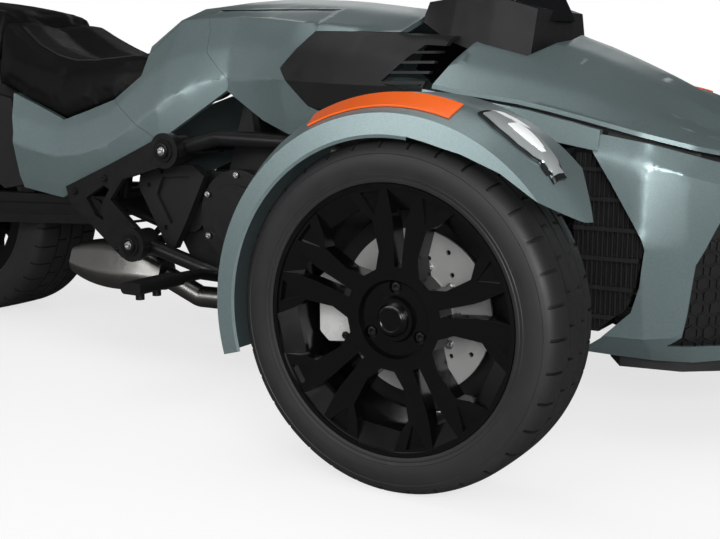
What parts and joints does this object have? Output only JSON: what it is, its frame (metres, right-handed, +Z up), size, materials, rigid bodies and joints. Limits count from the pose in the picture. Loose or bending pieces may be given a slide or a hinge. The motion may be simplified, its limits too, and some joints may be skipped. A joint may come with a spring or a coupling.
{
  "type": "motor trike",
  "caption": "Road-going motor trike with paired steered front wheels under fenders, a hollow nose with a cargo lid, a straddle seat and a belt-driven rear wheel.",
  "frame": {"origin": "on the ground at the middle of the length and width", "axes": "+X forward, +Y to the rider's left, +Z up"},
  "size_m": [2.642, 1.496, 1.099],
  "materials": {
    "body_paint": "satin metallic grey-teal paint",
    "black_plastic": "moulded black plastic",
    "frame_black": "satin black powder coat",
    "tyre": "tyre rubber",
    "rim_black": "satin black cast wheel",
    "disc_steel": "ground steel",
    "cast_aluminium": "cast aluminium",
    "engine_grey": "dark painted castings",
    "seat_leather": "black seat leather",
    "clear_lens": "clear lens over white optics",
    "amber_lens": "amber reflector",
    "red_lens": "red lens",
    "grip_rubber": "grip rubber",
    "screen": "smoked screen",
    "exhaust_metal": "brushed stainless steel"
  },
  "bodies": {
    "chassis": {"main_frame": "frame_black", "side_plates": "frame_black", "a_arms": "frame_black", "shocks": "frame_black", "engine": "engine_grey", "engine_trim": "black_plastic", "exhaust": "exhaust_metal", "swing_arm": "frame_black", "belt_drive": "grip_rubber", "foot_pegs": "frame_black", "nose_shell": "body_paint", "front_grilles": "black_plastic", "headlamps": "clear_lens", "side_grilles": "black_plastic", "cargo_tub": "black_plastic", "chin": "black_plastic", "dash": "black_plastic", "display": "black_plastic", "windscreen": "screen", "rider_seat": "seat_leather", "pillion_seat": "seat_leather", "tail_body": "black_plastic", "rear_quarters": "black_plastic", "tail_lamp": "red_lens", "rear_fender": "black_plastic", "plate_holder": "black_plastic", "seat_side_panels": "body_paint", "knee_panels": "body_paint", "flank_panels": "body_paint", "intake_pods": "black_plastic", "tank_cover": "body_paint"},
    "right_knuckle": {"knuckle_right": "cast_aluminium", "caliper_right": "cast_aluminium", "fender_right": "body_paint", "fender_lamp_right": "clear_lens", "fender_reflector_right": "amber_lens"},
    "right_wheel": {"tyre_right": "tyre", "rim_right": "rim_black", "brake_disc_right": "disc_steel"},
    "left_knuckle": {"knuckle_left": "cast_aluminium", "caliper_left": "cast_aluminium", "fender_left": "body_paint", "fender_lamp_left": "clear_lens", "fender_reflector_left": "amber_lens"},
    "left_wheel": {"tyre_left": "tyre", "rim_left": "rim_black", "brake_disc_left": "disc_steel"},
    "rear_wheel": {"tyre_rear": "tyre", "rim_rear": "rim_black", "brake_disc_rear": "disc_steel"},
    "handlebar": {"handlebar": "frame_black", "grips": "grip_rubber", "mirrors": "black_plastic"},
    "lid": {"cargo_lid": "body_paint"},
    "steering_link": {"steering_link": "frame_black"}
  },
  "joints": [
    {"name": "steering", "type": "hinge", "parent": "chassis", "child": "handlebar", "pos_m": [0.64, 0, 0.64], "axis": [-0.3824, 0, 0.924], "range_deg": [-38, 38]},
    {"name": "link_slide", "type": "slide", "parent": "chassis", "child": "steering_link", "axis": [0, 1, 0], "range_m": [-0.0549, 0.0549]},
    {"name": "lid_hinge", "type": "hinge", "parent": "chassis", "child": "lid", "pos_m": [1.206, 0, 0.5], "axis": [0, 1, 0], "range_deg": [0, 60]},
    {"name": "rear_spin", "type": "hinge", "parent": "chassis", "child": "rear_wheel", "pos_m": [-0.908, 0, 0.303], "axis": [0, 1, 0], "continuous": true},
    {"name": "right_steer", "type": "hinge", "parent": "chassis", "child": "right_knuckle", "pos_m": [0.801, -0.589, 0.281], "axis": [0, 0, 1], "range_deg": [-28.6, 28.6]},
    {"name": "right_spin", "type": "hinge", "parent": "right_knuckle", "child": "right_wheel", "pos_m": [0.801, -0.654, 0.281], "axis": [0, 1, 0], "continuous": true},
    {"name": "left_steer", "type": "hinge", "parent": "chassis", "child": "left_knuckle", "pos_m": [0.801, 0.589, 0.281], "axis": [0, 0, 1], "range_deg": [-28.6, 28.6]},
    {"name": "left_spin", "type": "hinge", "parent": "left_knuckle", "child": "left_wheel", "pos_m": [0.801, 0.654, 0.281], "axis": [0, 1, 0], "continuous": true}
  ],
  "couplings": [
    {"joint": "link_slide", "follows": "steering", "m_per_rad": -0.0825},
    {"joint": "right_steer", "follows": "steering", "ratio": 0.75},
    {"joint": "left_steer", "follows": "steering", "ratio": 0.75}
  ]
}
